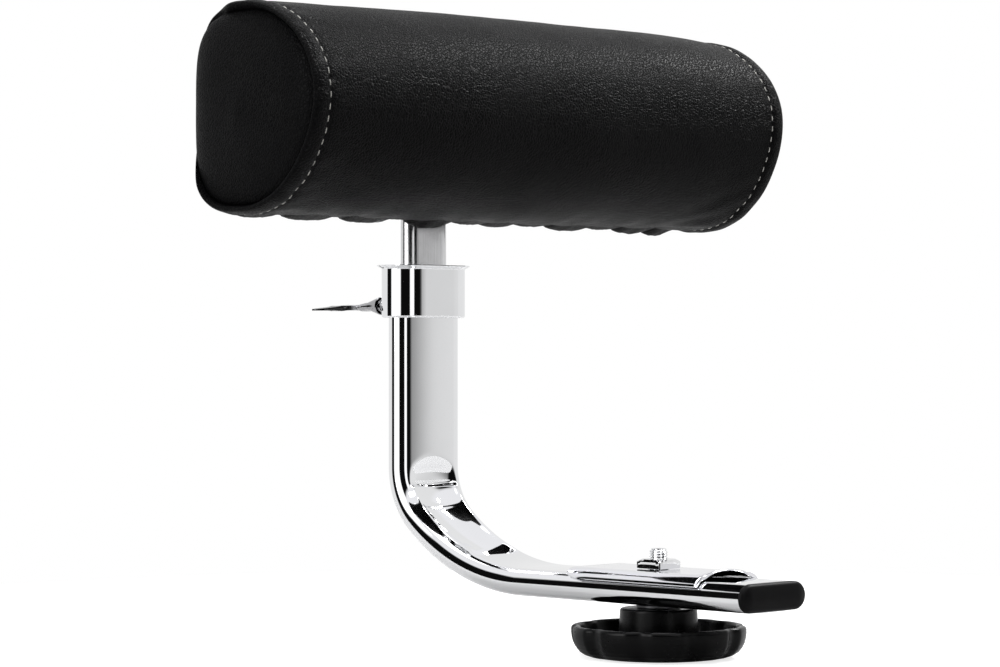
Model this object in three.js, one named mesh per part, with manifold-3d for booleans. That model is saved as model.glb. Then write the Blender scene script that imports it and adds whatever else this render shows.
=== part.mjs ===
// Backrest for a drummer's stool: a D-section upholstered pad on a flat bar that slides in a bent
// flat-oval tube. A wing bolt in a collar fixes the height. A hand knob, stud, saddle plate and
// square nut clamp the tube's foot under the seat.
// Millimetres. +Z up, +X along the pad, -Y forward. The origin is on the stud's axis, on the
// saddle plate's top face.
import * as THREE from 'three';
import { mergeVertices } from 'three/addons/utils/BufferGeometryUtils.js';
import Module from 'manifold-3d';

const GAP = 0.3;

// Flat-oval main tube and its bend
const TUBE_WIDE = 50;
const TUBE_THICK = 16;
const TUBE_WALL = 1.5;
const POST_Y = 183;
const POST_TOP = 152;
const BAR_Z = -2.5 - GAP - TUBE_THICK / 2;
const BAR_END_Y = -78;
const BEND_TIGHT = 40;
const BEND_OPEN = 130;
const BEND_SPLIT = 50;
const DENT_HALF = 17;
const DENT_DEPTH = 2.4;

// Height collar, its plastic bush, weld nut, pressure pad and wing bolt
const COLLAR_WIDE = 56;
const COLLAR_THICK = 27.6;
const COLLAR_WALL = 1.5;
const COLLAR_LOW = 135.6;
const COLLAR_TOP = 166;
const LIP_OUT = 2.6;
const SCREW_Z = 143;
const SCREW_R = 4;
const NUT_FLATS = 13;
const NUT_THICK = 6.5;
const WING_SPAN = 25;
const WING_TIP_Y = 256;

// Sliding bar, its glide and cap, and the pad's bracket
const SLIDE_WIDE = 32;
const SLIDE_THICK = 11.4;
const SLIDE_WALL = 1.5;
const SLIDE_LOW = 90;
const SLIDE_TOP = 278;
const BRACKET_WIDE = 90;
const BRACKET_LOW = 215;
const BRACKET_HIGH = 275;
const BRACKET_PLATE = 3;
const SCREW_X = 34;
const SCREW_ROWS = [228, 262];

// Pad: a D section that is superelliptic, flat at the back
const PAD_HALF = 182;
const PAD_MID_Y = 125;
const PAD_MID_Z = 250;
const PAD_FRONT = 59;
const PAD_REAR = 45;
const PAD_UP = 52;
const PAD_DOWN = 61;
const PAD_BACK_Y = 168;
const COVER = 2;
const BOARD = 12;
const PANEL = 4.7;

// Seat clamp: saddle plate, stud, nut, washer and hand knob
const PLATE = 2.5;
const PLATE_FRONT = -49;
const PLATE_REAR = 46;
const PLATE_WRAP = 60;
const STUD_R = 5;
const STUD_TOP = 11;
const NUT_SIDE = 17;
const NUT_HIGH = 5;
const KNOB_R = 47.5;
const KNOB_LOBES = 8;
const KNOB_FLUTE = 2.4;
const KNOB_LOW = -48;
const KNOB_RIM_TOP = -30.4;
const KNOB_FLOOR = -43;
const KNOB_RECESS_R = 39;
const HUB_R = 22;
const WASHER = 1.5;

const wasm = await Module();
wasm.setup();

const steel = { color: 0xd9dadc, roughness: 0.06, metalness: 1 };
const satin = { color: 0xb9bbbe, roughness: 0.3, metalness: 1 };
const black = { color: 0x0b0b0c, roughness: 0.35, metalness: 0 };
const matte = { color: 0x0e0e0f, roughness: 0.75, metalness: 0 };
const hide = { color: 0x17171a, roughness: 0.5, metalness: 0 };
const lining = { color: 0x101012, roughness: 0.9, metalness: 0 };
const foam = { color: 0xd8cfae, roughness: 0.95, metalness: 0 };
const ply = { color: 0xb58a5a, roughness: 0.8, metalness: 0 };
const brass = { color: 0xb98f45, roughness: 0.35, metalness: 1 };

// A closed three.js geometry as a solid that can be joined and cut.
function solid(geometry) {
  const bare = geometry.clone();
  bare.deleteAttribute('normal');
  bare.deleteAttribute('uv');
  const merged = mergeVertices(bare, 1e-4);
  return new wasm.Manifold(new wasm.Mesh({
    numProp: 3,
    vertProperties: merged.attributes.position.array,
    triVerts: new Uint32Array(merged.index.array),
  }));
}

// A solid back as a three.js geometry.
function geometryOf(body) {
  const mesh = body.getMesh();
  const geometry = new THREE.BufferGeometry();
  geometry.setAttribute('position', new THREE.BufferAttribute(mesh.vertProperties, 3));
  geometry.setIndex(new THREE.BufferAttribute(mesh.triVerts, 1));
  const faceted = geometry.toNonIndexed();
  faceted.computeVertexNormals();
  return faceted;
}

// Points of a flat oval, counterclockwise, with extra points along its flats.
function oval(wide, thick, arc = 8, flat = 1) {
  const r = thick / 2;
  const half = wide / 2 - r;
  const points = [];
  for (const side of [1, -1]) {
    for (let i = 0; i <= arc; i += 1) {
      const a = side * Math.PI / 2 * (2 * i / arc - 1) * side + (side > 0 ? 0 : Math.PI);
      points.push(new THREE.Vector2(side * half + r * Math.cos(a), r * Math.sin(a)));
    }
    for (let i = 1; i < flat; i += 1) {
      points.push(new THREE.Vector2(side * half * (1 - 2 * i / flat), side * r));
    }
  }
  return points;
}

// An outline extruded up from z0 to z1.
function upright(points, z0, z1, bevel = 0) {
  const geometry = new THREE.ExtrudeGeometry(new THREE.Shape(points), {
    depth: z1 - z0 - 2 * bevel,
    bevelEnabled: bevel > 0,
    bevelSize: bevel,
    bevelThickness: bevel,
    bevelOffset: -bevel,
    bevelSegments: 2,
    steps: 1,
  });
  return geometry.translate(0, 0, z0 + bevel);
}

function ovalZ(wide, thick, y, z0, z1, bevel = 0) {
  return solid(upright(oval(wide, thick), z0, z1, bevel).translate(0, y, 0));
}

function ovalY(wide, thick, z, y0, y1, bevel = 0) {
  return solid(upright(oval(wide, thick), y0, y1, bevel).rotateX(-Math.PI / 2).translate(0, 0, z));
}

function box(x0, x1, y0, y1, z0, z1) {
  const geometry = new THREE.BoxGeometry(x1 - x0, y1 - y0, z1 - z0);
  return solid(geometry.translate((x0 + x1) / 2, (y0 + y1) / 2, (z0 + z1) / 2));
}

// Cylinder or cone along Z or along Y; r0 is at the low end.
function roundZ(x, y, z0, z1, r0, r1 = r0, sides = 24) {
  const geometry = new THREE.CylinderGeometry(r1, r0, z1 - z0, sides).rotateX(Math.PI / 2);
  return solid(geometry.translate(x, y, (z0 + z1) / 2));
}

function roundY(x, z, y0, y1, r0, r1 = r0, sides = 20) {
  const geometry = new THREE.CylinderGeometry(r1, r0, y1 - y0, sides);
  return solid(geometry.translate(x, (y0 + y1) / 2, z));
}

// A solid skinned over a row of sections that hold the same number of points.
function loft(sections) {
  const count = sections[0].length;
  const vertices = [];
  const faces = [];
  for (const section of sections) {
    for (const p of section) {
      vertices.push(p.x, p.y, p.z);
    }
  }
  for (let s = 0; s < sections.length - 1; s += 1) {
    for (let i = 0; i < count; i += 1) {
      const j = (i + 1) % count;
      const a = s * count;
      const b = a + count;
      faces.push(a + i, a + j, b + j);
      faces.push(a + i, b + j, b + i);
    }
  }
  const last = (sections.length - 1) * count;
  for (let i = 1; i < count - 1; i += 1) {
    faces.push(0, i + 1, i);
    faces.push(last, last + i, last + i + 1);
  }
  const geometry = new THREE.BufferGeometry();
  geometry.setAttribute('position', new THREE.Float32BufferAttribute(vertices, 3));
  geometry.setIndex(faces);
  return solid(geometry);
}

// Stations down the post, round the bend and out along the bar: y, z, turn and dent depth.
function stations(overrun) {
  const rad = Math.PI / 180;
  const split = BEND_SPLIT * rad;
  const drop = BEND_TIGHT * Math.sin(split) + BEND_OPEN * (1 - Math.sin(split));
  const top = BAR_Z + drop;
  const row = [];
  row.push({ y: POST_Y, z: POST_TOP + overrun, turn: 0, dent: 0 });
  row.push({ y: POST_Y, z: top + 8, turn: 0, dent: 0 });
  row.push({ y: POST_Y, z: top, turn: 0, dent: 1 });
  for (let i = 1; i <= 12; i += 1) {
    const turn = i * 7.5 * rad;
    const first = Math.min(turn, split);
    let y = POST_Y - BEND_TIGHT * (1 - Math.cos(first));
    let z = top - BEND_TIGHT * Math.sin(first);
    if (turn > split) {
      y -= BEND_OPEN * (Math.cos(split) - Math.cos(turn));
      z -= BEND_OPEN * (Math.sin(turn) - Math.sin(split));
    }
    row.push({ y, z, turn, dent: 1 - Math.max(0, i - 8) / 4 });
  }
  row.push({ y: BAR_END_Y - overrun, z: BAR_Z, turn: Math.PI / 2, dent: 0 });
  return row;
}

function bentOval(wide, thick, overrun) {
  const outline = oval(wide, thick, 8, 8);
  const rows = stations(overrun).map((at) => outline.map((p) => {
    const near = Math.max(0, Math.cos(Math.PI / 2 * Math.min(1, Math.abs(p.x) / DENT_HALF)));
    const inside = p.y > 0 ? 1 : 0;
    const q = p.y - inside * at.dent * DENT_DEPTH * near * near;
    const ny = -Math.cos(at.turn);
    const nz = Math.sin(at.turn);
    return new THREE.Vector3(p.x, at.y + ny * q, at.z + nz * q);
  }));
  return loft(rows);
}

// Half of the pad's section as a superellipse; inset moves it in from the cover's outside.
function padOutline(inset) {
  const points = [];
  const steps = 44;
  for (let i = 0; i < steps; i += 1) {
    const a = 2 * Math.PI * i / steps;
    const c = Math.cos(a);
    const s = Math.sin(a);
    const rear = c > 0;
    const n = rear ? 3.5 : 1.9;
    const reach = (rear ? PAD_REAR : PAD_FRONT) - inset;
    const rise = (s > 0 ? PAD_UP : PAD_DOWN) - inset;
    const scale = (Math.abs(c) ** n + Math.abs(s) ** n) ** (-1 / n);
    const y = Math.min(PAD_MID_Y + reach * c * scale, PAD_BACK_Y - inset);
    points.push(new THREE.Vector2(y, PAD_MID_Z + rise * s * scale));
  }
  return points;
}

// An outline in the Y-Z plane extruded along X from x0 to x1.
function acrossX(points, x0, x1, bevel = 0) {
  const geometry = upright(points, x0, x1, bevel);
  const turn = new THREE.Matrix4().makeBasis(
    new THREE.Vector3(0, 1, 0),
    new THREE.Vector3(0, 0, 1),
    new THREE.Vector3(1, 0, 0),
  );
  return solid(geometry.applyMatrix4(turn));
}

const group = new THREE.Group();

function add(name, body, look) {
  const mesh = new THREE.Mesh(geometryOf(body), new THREE.MeshStandardMaterial(look));
  mesh.name = name;
  group.add(mesh);
}

// Main tube: the post, the dented bend and the bar under the seat, one bent piece
const cavityWide = TUBE_WIDE - 2 * TUBE_WALL;
const cavityThick = TUBE_THICK - 2 * TUBE_WALL;
const mainTube = bentOval(TUBE_WIDE, TUBE_THICK, 0)
  .subtract(bentOval(cavityWide, cavityThick, 1))
  .subtract(roundZ(0, 0, BAR_Z - 12, BAR_Z + 12, STUD_R + GAP))
  .subtract(roundY(0, SCREW_Z, POST_Y + 3, POST_Y + 12, SCREW_R + GAP));
add('main_tube', mainTube, steel);

const plugWide = cavityWide - 2 * GAP;
const plugThick = cavityThick - 2 * GAP;
const endPlug = ovalY(TUBE_WIDE, TUBE_THICK, BAR_Z, BAR_END_Y - GAP - 4, BAR_END_Y - GAP, 1)
  .add(ovalY(plugWide, plugThick, BAR_Z, BAR_END_Y - GAP - 1, BAR_END_Y + 10));
add('bar_end_plug', endPlug, matte);

// Height collar: a shell with a floor that the post comes up through and a flared lip
const collarInWide = COLLAR_WIDE - 2 * COLLAR_WALL;
const collarInThick = COLLAR_THICK - 2 * COLLAR_WALL;
const collarFloor = COLLAR_LOW + COLLAR_WALL;
const socketWide = TUBE_WIDE + 2 * GAP;
const socketThick = TUBE_THICK + 2 * GAP;
const lipWide = COLLAR_WIDE + 2 * LIP_OUT;
const lipThick = COLLAR_THICK + 2 * LIP_OUT;
const collar = ovalZ(COLLAR_WIDE, COLLAR_THICK, POST_Y, COLLAR_LOW, COLLAR_TOP)
  .add(ovalZ(lipWide, lipThick, POST_Y, COLLAR_TOP - 1.2, COLLAR_TOP))
  .subtract(ovalZ(collarInWide, collarInThick, POST_Y, collarFloor, COLLAR_TOP + 1))
  .subtract(ovalZ(socketWide, socketThick, POST_Y, COLLAR_LOW - 1, collarFloor + 1))
  .subtract(roundY(0, SCREW_Z, POST_Y + 8, POST_Y + 20, SCREW_R + GAP));
add('collar', collar, steel);

const bushWide = collarInWide - 2 * GAP;
const bushThick = collarInThick - 2 * GAP;
const bushLow = collarFloor + GAP;
const bushHoleWide = SLIDE_WIDE + 2 * GAP;
const bushHoleThick = SLIDE_THICK + 2 * GAP;
const bush = ovalZ(bushWide, bushThick, POST_Y, bushLow, COLLAR_TOP - 0.5)
  .subtract(ovalZ(socketWide, socketThick, POST_Y, bushLow - 1, POST_TOP + GAP))
  .subtract(ovalZ(bushHoleWide, bushHoleThick, POST_Y, bushLow, COLLAR_TOP + 1))
  .subtract(roundY(0, SCREW_Z, POST_Y + 5, POST_Y + 20, SCREW_R + GAP));
add('guide_bush', bush, matte);

const nutY = POST_Y + COLLAR_THICK / 2 + GAP;
const nutRadius = NUT_FLATS / 2 / Math.cos(Math.PI / 6);
const weldNut = roundY(0, SCREW_Z, nutY, nutY + NUT_THICK, nutRadius, nutRadius, 6)
  .subtract(roundY(0, SCREW_Z, nutY - 1, nutY + NUT_THICK + 1, SCREW_R + GAP));
add('weld_nut', weldNut, steel);

// Pressure pad and wing bolt
const padY = POST_Y + SLIDE_THICK / 2 + GAP;
const boltY = padY + 3.2 + GAP;
add('pressure_pad', roundY(0, SCREW_Z, padY, padY + 3.2, 3.5), brass);

function wing(side) {
  const outline = new THREE.Shape();
  outline.moveTo(0, 226);
  outline.lineTo(side * 6, 227);
  outline.lineTo(side * (WING_SPAN - 6), WING_TIP_Y - 14);
  outline.quadraticCurveTo(side * (WING_SPAN + 1), WING_TIP_Y - 8, side * WING_SPAN, WING_TIP_Y - 3);
  outline.quadraticCurveTo(side * (WING_SPAN - 2), WING_TIP_Y + 1, side * (WING_SPAN - 6), WING_TIP_Y - 1);
  outline.lineTo(side * 6, 246);
  outline.lineTo(0, 247);
  const points = outline.getPoints(4);
  return solid(upright(side > 0 ? points : points.reverse(), SCREW_Z - 1.1, SCREW_Z + 1.1));
}

const wingBolt = roundY(0, SCREW_Z, boltY, 222, SCREW_R, SCREW_R, 16)
  .add(roundY(0, SCREW_Z, 219, 229, 7.2, 4.6, 16))
  .add(roundY(0, SCREW_Z, 229, 250, 4.6, 3.6, 16))
  .add(wing(1))
  .add(wing(-1));
add('wing_bolt', wingBolt, steel);

// Sliding bar with its glide, cap and the bracket welded to it
const slideInWide = SLIDE_WIDE - 2 * SLIDE_WALL;
const slideInThick = SLIDE_THICK - 2 * SLIDE_WALL;
const slide = ovalZ(SLIDE_WIDE, SLIDE_THICK, POST_Y, SLIDE_LOW, SLIDE_TOP)
  .subtract(ovalZ(slideInWide, slideInThick, POST_Y, SLIDE_LOW - 1, SLIDE_TOP + 1));
add('inner_tube', slide, satin);

const spigotWide = slideInWide - 2 * GAP;
const spigotThick = slideInThick - 2 * GAP;
const glide = ovalZ(plugWide, plugThick, POST_Y, SLIDE_LOW - GAP - 8, SLIDE_LOW - GAP)
  .add(ovalZ(spigotWide, spigotThick, POST_Y, SLIDE_LOW - 4, SLIDE_LOW + 8));
add('inner_tube_glide', glide, matte);

const cap = ovalZ(SLIDE_WIDE, SLIDE_THICK, POST_Y, SLIDE_TOP + GAP, SLIDE_TOP + GAP + 3, 1)
  .add(ovalZ(spigotWide, spigotThick, POST_Y, SLIDE_TOP - 8, SLIDE_TOP + 2));
add('inner_tube_cap', cap, matte);

const dustY = PAD_BACK_Y + GAP;
const webY = dustY + 1 + GAP;
const flangeX = SLIDE_WIDE / 2 + GAP;
const flangeEnd = POST_Y + SLIDE_THICK / 2;
const webBack = webY + BRACKET_PLATE;
let bracket = box(-BRACKET_WIDE / 2, BRACKET_WIDE / 2, webY, webBack, BRACKET_LOW, BRACKET_HIGH);
for (const side of [-1, 1]) {
  const x = side * (flangeX + BRACKET_PLATE / 2);
  const x0 = x - BRACKET_PLATE / 2;
  bracket = bracket.add(box(x0, x0 + BRACKET_PLATE, webY + 1, flangeEnd, BRACKET_LOW, BRACKET_HIGH));
}

// Cover, foam, board, dust cover and end panels
const innerRest = COVER + GAP;
const boardBack = PAD_BACK_Y - innerRest;
const boardFront = boardBack - BOARD;
const coreHalf = PAD_HALF - GAP;
const core = acrossX(padOutline(innerRest), -coreHalf, coreHalf);
const boardSlab = box(-176, 176, boardFront, boardBack + 1, 150, 350);
let board = core.intersect(boardSlab);
let foamCore = core.subtract(box(-200, 200, boardFront - GAP, 200, 150, 350));
let dust = box(-172, 172, dustY, dustY + 1, 218, 277);
const cover = acrossX(padOutline(0), -PAD_HALF, PAD_HALF)
  .subtract(acrossX(padOutline(COVER), -PAD_HALF - 1, PAD_HALF + 1))
  .subtract(box(-168, 168, PAD_BACK_Y - 4, PAD_BACK_Y + 4, 222, 273));

const teeFlangeY = boardFront - GAP - 1.2;
let index = 0;
for (const x of [-SCREW_X, SCREW_X]) {
  for (const z of SCREW_ROWS) {
    index += 1;
    const screw = roundY(x, z, boardFront + 3, webBack + 1, 3)
      .add(roundY(x, z, webBack + GAP, webBack + GAP + 3.4, 6, 5));
    add(`bracket_screw_${index}`, screw, black);
    const teeNut = roundY(x, z, teeFlangeY, teeFlangeY + 1.2, 9)
      .add(roundY(x, z, teeFlangeY, boardFront + 9, 4.2))
      .subtract(roundY(x, z, teeFlangeY - 1, boardFront + 10, 3 + GAP));
    add(`tee_nut_${index}`, teeNut, satin);
    foamCore = foamCore.subtract(roundY(x, z, teeFlangeY - GAP, boardFront + 1, 9 + GAP));
    board = board.subtract(roundY(x, z, boardFront - 2, boardFront + 9 + GAP, 4.2 + GAP));
    board = board.subtract(roundY(x, z, boardFront - 1, boardBack + 2, 3 + GAP));
    dust = dust.subtract(roundY(x, z, dustY - 1, dustY + 2, 3 + GAP));
    bracket = bracket.subtract(roundY(x, z, webY - 1, webBack + 1, 3 + GAP));
  }
}
add('pad_bracket', bracket, satin);
add('back_board', board, ply);
add('foam_core', foamCore, foam);
add('dust_cover', dust, lining);
add('cover_body', cover, hide);
const panelStart = PAD_HALF + GAP;
const panelEnd = panelStart + PANEL;
add('end_panel_left', acrossX(padOutline(0), panelStart, panelEnd, 2), hide);
add('end_panel_right', acrossX(padOutline(0), -panelEnd, -panelStart, 2), hide);

// Saddle plate: wraps over the bar, with an arched lip at its front end
function saddleOutline() {
  const rad = Math.PI / 180;
  const half = (TUBE_WIDE - TUBE_THICK) / 2;
  const outer = TUBE_THICK / 2 + GAP + PLATE;
  const inner = TUBE_THICK / 2 + GAP;
  const points = [];
  for (let i = 0; i <= 6; i += 1) {
    const a = (90 - PLATE_WRAP + i * PLATE_WRAP / 6) * rad;
    points.push(new THREE.Vector2(half + outer * Math.cos(a), BAR_Z + outer * Math.sin(a)));
  }
  for (let i = 0; i <= 6; i += 1) {
    const a = (90 + i * PLATE_WRAP / 6) * rad;
    points.push(new THREE.Vector2(-half + outer * Math.cos(a), BAR_Z + outer * Math.sin(a)));
  }
  for (let i = 6; i >= 0; i -= 1) {
    const a = (90 + i * PLATE_WRAP / 6) * rad;
    points.push(new THREE.Vector2(-half + inner * Math.cos(a), BAR_Z + inner * Math.sin(a)));
  }
  for (let i = 6; i >= 0; i -= 1) {
    const a = (90 - PLATE_WRAP + i * PLATE_WRAP / 6) * rad;
    points.push(new THREE.Vector2(half + inner * Math.cos(a), BAR_Z + inner * Math.sin(a)));
  }
  return points;
}

function lipOutline() {
  const points = [];
  for (let i = 0; i <= 10; i += 1) {
    const x = 17.2 - 34.4 * i / 10;
    points.push(new THREE.Vector2(x, 4.2 * (1 - (x / 17.2) ** 2) ** 0.5));
  }
  points.push(new THREE.Vector2(-17.2, -PLATE / 2));
  points.push(new THREE.Vector2(17.2, -PLATE / 2));
  return points;
}

function alongY(points, y0, y1) {
  const geometry = upright(points, -y1, -y0);
  return solid(geometry.rotateX(Math.PI / 2));
}

let saddle = alongY(saddleOutline(), PLATE_FRONT, PLATE_REAR)
  .add(alongY(lipOutline(), PLATE_FRONT, PLATE_FRONT + PLATE))
  .subtract(roundZ(0, 0, -6, 3, STUD_R + GAP));
for (const side of [-1, 1]) {
  const corner = new THREE.BoxGeometry(24, 24, 30).rotateZ(Math.PI / 4);
  saddle = saddle.subtract(solid(corner.translate(side * 34, PLATE_REAR + 4, 0)));
}
add('saddle_plate', saddle, steel);

const squareNut = box(-NUT_SIDE / 2, NUT_SIDE / 2, -NUT_SIDE / 2, NUT_SIDE / 2, GAP, GAP + NUT_HIGH)
  .subtract(roundZ(0, 0, -1, 8, STUD_R + GAP));
add('square_nut', squareNut, steel);

const washerTop = BAR_Z - TUBE_THICK / 2 - GAP;
const washer = roundZ(0, 0, washerTop - WASHER, washerTop, 12)
  .subtract(roundZ(0, 0, washerTop - 4, washerTop + 2, STUD_R + GAP));
add('knob_washer', washer, satin);

// Hand knob: a lobed rim round an open recess, and a hub that reaches up to the washer
function lobes() {
  const points = [];
  const steps = KNOB_LOBES * 8;
  for (let i = 0; i < steps; i += 1) {
    const a = 2 * Math.PI * i / steps;
    const flute = Math.max(0, Math.cos(KNOB_LOBES * a)) ** 2;
    const r = KNOB_R - KNOB_FLUTE * flute;
    points.push(new THREE.Vector2(r * Math.cos(a), r * Math.sin(a)));
  }
  return points;
}

const hubTop = washerTop - WASHER - GAP;
const knob = solid(upright(lobes(), KNOB_LOW, KNOB_RIM_TOP, 2.5))
  .subtract(roundZ(0, 0, KNOB_FLOOR, KNOB_RIM_TOP + 1, KNOB_RECESS_R, KNOB_RECESS_R, 40))
  .add(roundZ(0, 0, KNOB_FLOOR - 1, hubTop, HUB_R, HUB_R - 1.5, 32))
  .subtract(roundZ(0, 0, KNOB_LOW + 4, hubTop + 1, STUD_R + GAP));
add('hand_knob', knob, black);

const stud = roundZ(0, 0, KNOB_LOW + 4 + GAP, STUD_TOP - 1, STUD_R)
  .add(roundZ(0, 0, STUD_TOP - 1, STUD_TOP, STUD_R, STUD_R - 1));
add('clamp_stud', stud, steel);

export default group;
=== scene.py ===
"""Drum throne backrest: padded leatherette backrest on a sliding bar in a bent chrome tube."""
import random
from math import atan, copysign, cos, exp, hypot, pi, radians, sin, sqrt

import bmesh
import bpy
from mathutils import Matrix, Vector, noise


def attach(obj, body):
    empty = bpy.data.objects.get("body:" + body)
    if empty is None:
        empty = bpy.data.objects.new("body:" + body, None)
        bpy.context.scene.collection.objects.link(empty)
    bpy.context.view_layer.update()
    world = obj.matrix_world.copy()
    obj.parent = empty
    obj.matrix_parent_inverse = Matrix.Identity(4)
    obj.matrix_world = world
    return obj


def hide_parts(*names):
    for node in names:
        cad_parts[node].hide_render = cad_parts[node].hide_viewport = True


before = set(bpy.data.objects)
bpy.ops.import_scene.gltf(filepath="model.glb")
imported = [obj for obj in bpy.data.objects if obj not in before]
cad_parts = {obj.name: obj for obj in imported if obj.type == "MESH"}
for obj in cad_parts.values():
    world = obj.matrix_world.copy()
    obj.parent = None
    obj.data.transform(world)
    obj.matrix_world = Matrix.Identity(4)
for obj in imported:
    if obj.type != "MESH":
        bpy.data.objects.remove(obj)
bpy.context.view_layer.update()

MM = 0.001
random.seed(7)

# Sizes in mm, as in the CAD
POST_Y = 183.0
POST_TOP = 152.0
BAR_Z = -10.8
BAR_END = -78.0
TUBE_W, TUBE_T, TUBE_WALL = 50.0, 16.0, 1.5
BEND_TIGHT, BEND_OPEN, BEND_SPLIT = 40.0, 130.0, radians(50)
SCREW_Z = 143.0
PAD_Y, PAD_Z = 125.0, 250.0
PAD_BACK = 168.0


# -------- materials

def material(name):
    mat = bpy.data.materials.new(name)
    mat.use_nodes = True
    tree = mat.node_tree
    shader = tree.nodes["Principled BSDF"]
    return mat, tree, shader


def node(tree, kind, **values):
    n = tree.nodes.new(kind)
    for key, value in values.items():
        if key.startswith("in_"):
            slot = key[3:].replace("_", " ")
            n.inputs[int(slot) if slot.isdigit() else slot].default_value = value
        else:
            setattr(n, key, value)
    return n


def wire(tree, source, target):
    tree.links.new(source, target)


def texture(tree, at, kind, **values):
    """A texture node that is read at the coordinates at."""
    n = node(tree, "ShaderNodeTex" + kind, **values)
    wire(tree, at, n.inputs["Vector"])
    return n


def coords(tree, scale=(1, 1, 1)):
    place = tree.nodes.new("ShaderNodeTexCoord")
    mapping = tree.nodes.new("ShaderNodeMapping")
    mapping.inputs["Scale"].default_value = scale
    wire(tree, place.outputs["Object"], mapping.inputs["Vector"])
    return mapping.outputs["Vector"]


def ramp(tree, source, stops):
    n = tree.nodes.new("ShaderNodeValToRGB")
    while len(n.color_ramp.elements) < len(stops):
        n.color_ramp.elements.new(0.5)
    for element, (at, colour) in zip(n.color_ramp.elements, stops):
        element.position = at
        element.color = (*colour, 1)
    wire(tree, source, n.inputs["Fac"])
    return n.outputs["Color"]


def paint(tree, shader, source, stops):
    wire(tree, ramp(tree, source, stops), shader.inputs["Base Color"])


def spread(tree, source, low, high, from_low=0.0, from_high=1.0):
    n = node(tree, "ShaderNodeMapRange", in_1=from_low, in_2=from_high, in_3=low, in_4=high)
    wire(tree, source, n.inputs["Value"])
    return n.outputs["Result"]


def bump(tree, shader, height, strength, distance, under=None):
    n = node(tree, "ShaderNodeBump", in_Strength=strength, in_Distance=distance)
    wire(tree, height, n.inputs["Height"])
    if under:
        wire(tree, under, n.inputs["Normal"])
    wire(tree, n.outputs["Normal"], shader.inputs["Normal"])
    return n.outputs["Normal"]


def chrome(name="chrome", tint=(0.86, 0.865, 0.875), low=0.025, high=0.06):
    mat, tree, shader = material(name)
    shader.inputs["Metallic"].default_value = 1.0
    at = coords(tree)
    film = texture(tree, at, "Noise", in_Scale=38.0, in_Detail=4.0)
    wire(tree, spread(tree, film.outputs["Fac"], low, high, 0.35, 0.7), shader.inputs["Roughness"])
    paint(tree, shader, film.outputs["Fac"], [(0.3, tuple(c * 0.97 for c in tint)), (0.7, tint)])
    swell = texture(tree, at, "Noise", in_Scale=55.0, in_Detail=1.0)
    bump(tree, shader, swell.outputs["Fac"], 0.02, 0.0006)
    return mat


def satin(name="satin_steel"):
    mat, tree, shader = material(name)
    shader.inputs["Metallic"].default_value = 1.0
    along = coords(tree, (2600, 2600, 26))
    streaks = texture(tree, along, "Noise", in_Scale=1.0, in_Detail=5.0, in_Roughness=0.65)
    cloud = texture(tree, coords(tree), "Noise", in_Scale=60.0, in_Detail=3.0)
    paint(tree, shader, streaks.outputs["Fac"], [(0.25, (0.60, 0.60, 0.61)), (0.8, (0.78, 0.78, 0.79))])
    wire(tree, spread(tree, cloud.outputs["Fac"], 0.14, 0.28, 0.3, 0.7), shader.inputs["Roughness"])
    bump(tree, shader, streaks.outputs["Fac"], 0.12, 0.00008)
    return mat


def plastic(name, colour, rough_low, rough_high, grain=2200.0, depth=0.00006, strength=0.35, shine=0.2):
    mat, tree, shader = material(name)
    at = coords(tree)
    cloud = texture(tree, at, "Noise", in_Scale=45.0, in_Detail=4.0)
    lighter = tuple(c * 1.7 for c in colour)
    paint(tree, shader, cloud.outputs["Fac"], [(0.35, colour), (0.75, lighter)])
    rough = spread(tree, cloud.outputs["Fac"], rough_low, rough_high, 0.3, 0.7)
    wire(tree, rough, shader.inputs["Roughness"])
    fine = texture(tree, at, "Noise", in_Scale=grain, in_Detail=2.0)
    bump(tree, shader, fine.outputs["Fac"], strength, depth)
    shader.inputs["Specular IOR Level"].default_value = shine
    return mat


def leather(name="leatherette", base=(0.0016, 0.0016, 0.0018), worn=(0.0044, 0.0044, 0.0047), shine=0.032):
    mat, tree, shader = material(name)
    at = coords(tree)
    warp = texture(tree, at, "Noise", in_Scale=420.0, in_Detail=2.0)
    shift = node(tree, "ShaderNodeMixRGB", blend_type="ADD", in_Fac=0.0012)
    wire(tree, at, shift.inputs["Color1"])
    wire(tree, warp.outputs["Color"], shift.inputs["Color2"])
    cells = texture(tree, shift.outputs["Color"], "Voronoi", feature="DISTANCE_TO_EDGE", in_Scale=580.0)
    pebble = spread(tree, cells.outputs["Distance"], 0.0, 1.0, 0.0, 0.22)
    pores = texture(tree, at, "Noise", in_Scale=1900.0, in_Detail=3.0)
    hide = texture(tree, at, "Noise", in_Scale=16.0, in_Detail=5.0, in_Roughness=0.6)
    tone = ramp(tree, hide.outputs["Fac"], [(0.3, base), (0.72, worn)])
    crease = node(tree, "ShaderNodeMixRGB", blend_type="MULTIPLY", in_Fac=0.5)
    wire(tree, tone, crease.inputs["Color1"])
    wire(tree, pebble, crease.inputs["Color2"])
    wire(tree, crease.outputs["Color"], shader.inputs["Base Color"])
    patchy = spread(tree, hide.outputs["Fac"], 0.33, 0.46, 0.3, 0.7)
    wire(tree, patchy, shader.inputs["Roughness"])
    shader.inputs["Specular IOR Level"].default_value = shine
    grain = bump(tree, shader, pebble, 0.85, 0.0004)
    bump(tree, shader, pores.outputs["Fac"], 0.35, 0.00016, grain)
    return mat


def thread(name="stitch_thread", dark=(0.28, 0.274, 0.258), pale=(0.56, 0.55, 0.51)):
    mat, tree, shader = material(name)
    twist = texture(tree, coords(tree), "Wave", in_Scale=900.0, in_Distortion=1.5, bands_direction="DIAGONAL")
    paint(tree, shader, twist.outputs["Fac"], [(0.2, dark), (0.8, pale)])
    shader.inputs["Roughness"].default_value = 0.7
    bump(tree, shader, twist.outputs["Fac"], 0.5, 0.0001)
    return mat


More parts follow.
